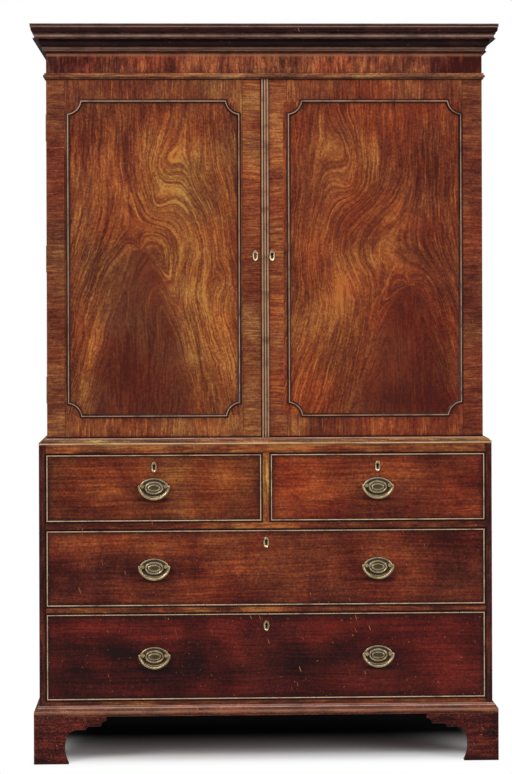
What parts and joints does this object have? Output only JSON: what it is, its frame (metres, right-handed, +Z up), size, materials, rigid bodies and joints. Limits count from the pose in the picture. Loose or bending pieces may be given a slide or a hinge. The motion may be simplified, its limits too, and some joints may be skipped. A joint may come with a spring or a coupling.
{
  "type": "linen press",
  "caption": "Mahogany linen press: a cupboard with panelled doors over sliding trays, on a chest of drawers with bracket feet and brass bail handles.",
  "frame": {"origin": "on the floor, under the middle of the whole piece, with all doors and drawers shut", "axes": "+Z up, -Y to the front where the doors and drawers open, +X to the right seen from the front"},
  "size_m": [1.299, 0.5846, 2.0468],
  "materials": {
    "mahogany": "polished",
    "pine": "plain",
    "oak": "plain",
    "brass": "aged"
  },
  "bodies": {
    "carcass": {"back_feet": "mahogany", "base_moulding": "mahogany", "case_hinge_leaves": "brass", "cornice": "mahogany", "drawer_muntin": "mahogany", "drawer_rails": "mahogany", "drawer_runners": "pine", "dust_boards": "pine", "frieze": "mahogany", "frieze_astragal": "mahogany", "front_left_foot": "mahogany", "front_right_foot": "mahogany", "lower_back_boards": "pine", "lower_bottom_board": "pine", "lower_side_left": "mahogany", "lower_side_right": "mahogany", "lower_top_board": "pine", "tray_runners": "pine", "upper_back_boards": "pine", "upper_bottom_board": "pine", "upper_side_left": "mahogany", "upper_side_right": "mahogany", "upper_top_board": "pine", "waist_moulding": "mahogany"},
    "left_door_top_bolt": {"left_door_top_bolt": "brass"},
    "left_door_bottom_bolt": {"left_door_bottom_bolt": "brass"},
    "left_door": {"left_door_bolt_plates": "brass", "left_door_escutcheon": "brass", "left_door_frame": "mahogany", "left_door_hinge_leaves": "brass", "left_door_moulding": "mahogany", "left_door_panel": "mahogany"},
    "right_door": {"right_door_astragal": "mahogany", "right_door_frame": "mahogany", "right_door_hinge_leaves": "brass", "right_door_lock": "brass", "right_door_moulding": "mahogany", "right_door_panel": "mahogany"},
    "linen_tray_1": {"linen_tray_1": "mahogany"},
    "linen_tray_2": {"linen_tray_2": "mahogany"},
    "linen_tray_3": {"linen_tray_3": "mahogany"},
    "linen_tray_4": {"linen_tray_4": "mahogany"},
    "bottom_drawer_bail_left": {"bottom_drawer_bail_left": "brass"},
    "bottom_drawer_bail_right": {"bottom_drawer_bail_right": "brass"},
    "middle_drawer_bail_left": {"middle_drawer_bail_left": "brass"},
    "middle_drawer_bail_right": {"middle_drawer_bail_right": "brass"},
    "top_left_drawer_bail": {"top_left_drawer_bail": "brass"},
    "top_right_drawer_bail": {"top_right_drawer_bail": "brass"},
    "top_left_drawer": {"top_left_drawer_box": "oak", "top_left_drawer_brasses": "brass", "top_left_drawer_front": "mahogany"},
    "top_right_drawer": {"top_right_drawer_box": "oak", "top_right_drawer_brasses": "brass", "top_right_drawer_front": "mahogany"},
    "middle_drawer": {"middle_drawer_box": "oak", "middle_drawer_brasses": "brass", "middle_drawer_front": "mahogany"},
    "bottom_drawer": {"bottom_drawer_box": "oak", "bottom_drawer_brasses": "brass", "bottom_drawer_front": "mahogany"}
  },
  "joints": [
    {"name": "left_door_swing", "type": "hinge", "parent": "carcass", "child": "left_door", "pos_m": [-0.6075, -0.22795, 1.3974], "axis": [0, 0, -1], "range_deg": [0, 170]},
    {"name": "right_door_swing", "type": "hinge", "parent": "carcass", "child": "right_door", "pos_m": [0.6075, -0.22795, 1.3974], "axis": [0, 0, 1], "range_deg": [0, 170]},
    {"name": "left_door_top_bolt_slide", "type": "slide", "parent": "left_door", "child": "left_door_top_bolt", "axis": [0, 0, 1], "range_m": [0, 0.012]},
    {"name": "left_door_bottom_bolt_slide", "type": "slide", "parent": "left_door", "child": "left_door_bottom_bolt", "axis": [0, 0, -1], "range_m": [0, 0.012]},
    {"name": "linen_tray_1_slide", "type": "slide", "parent": "carcass", "child": "linen_tray_1", "axis": [0, -1, 0], "range_m": [0, 0.024]},
    {"name": "linen_tray_2_slide", "type": "slide", "parent": "carcass", "child": "linen_tray_2", "axis": [0, -1, 0], "range_m": [0, 0.024]},
    {"name": "linen_tray_3_slide", "type": "slide", "parent": "carcass", "child": "linen_tray_3", "axis": [0, -1, 0], "range_m": [0, 0.024]},
    {"name": "linen_tray_4_slide", "type": "slide", "parent": "carcass", "child": "linen_tray_4", "axis": [0, -1, 0], "range_m": [0, 0.024]},
    {"name": "top_left_drawer_slide", "type": "slide", "parent": "carcass", "child": "top_left_drawer", "axis": [0, -1, 0], "range_m": [0, 0.44]},
    {"name": "top_right_drawer_slide", "type": "slide", "parent": "carcass", "child": "top_right_drawer", "axis": [0, -1, 0], "range_m": [0, 0.44]},
    {"name": "middle_drawer_slide", "type": "slide", "parent": "carcass", "child": "middle_drawer", "axis": [0, -1, 0], "range_m": [0, 0.44]},
    {"name": "bottom_drawer_slide", "type": "slide", "parent": "carcass", "child": "bottom_drawer", "axis": [0, -1, 0], "range_m": [0, 0.44]},
    {"name": "bottom_drawer_bail_left_swing", "type": "hinge", "parent": "bottom_drawer", "child": "bottom_drawer_bail_left", "pos_m": [-0.311, -0.27875, 0.2976], "axis": [-1, 0, 0], "range_deg": [0, 95]},
    {"name": "bottom_drawer_bail_right_swing", "type": "hinge", "parent": "bottom_drawer", "child": "bottom_drawer_bail_right", "pos_m": [0.311, -0.27875, 0.2976], "axis": [-1, 0, 0], "range_deg": [0, 95]},
    {"name": "middle_drawer_bail_left_swing", "type": "hinge", "parent": "middle_drawer", "child": "middle_drawer_bail_left", "pos_m": [-0.311, -0.27875, 0.5431], "axis": [-1, 0, 0], "range_deg": [0, 95]},
    {"name": "middle_drawer_bail_right_swing", "type": "hinge", "parent": "middle_drawer", "child": "middle_drawer_bail_right", "pos_m": [0.311, -0.27875, 0.5431], "axis": [-1, 0, 0], "range_deg": [0, 95]},
    {"name": "top_left_drawer_bail_swing", "type": "hinge", "parent": "top_left_drawer", "child": "top_left_drawer_bail", "pos_m": [-0.311, -0.27875, 0.7656], "axis": [-1, 0, 0], "range_deg": [0, 95]},
    {"name": "top_right_drawer_bail_swing", "type": "hinge", "parent": "top_right_drawer", "child": "top_right_drawer_bail", "pos_m": [0.311, -0.27875, 0.7656], "axis": [-1, 0, 0], "range_deg": [0, 95]}
  ]
}
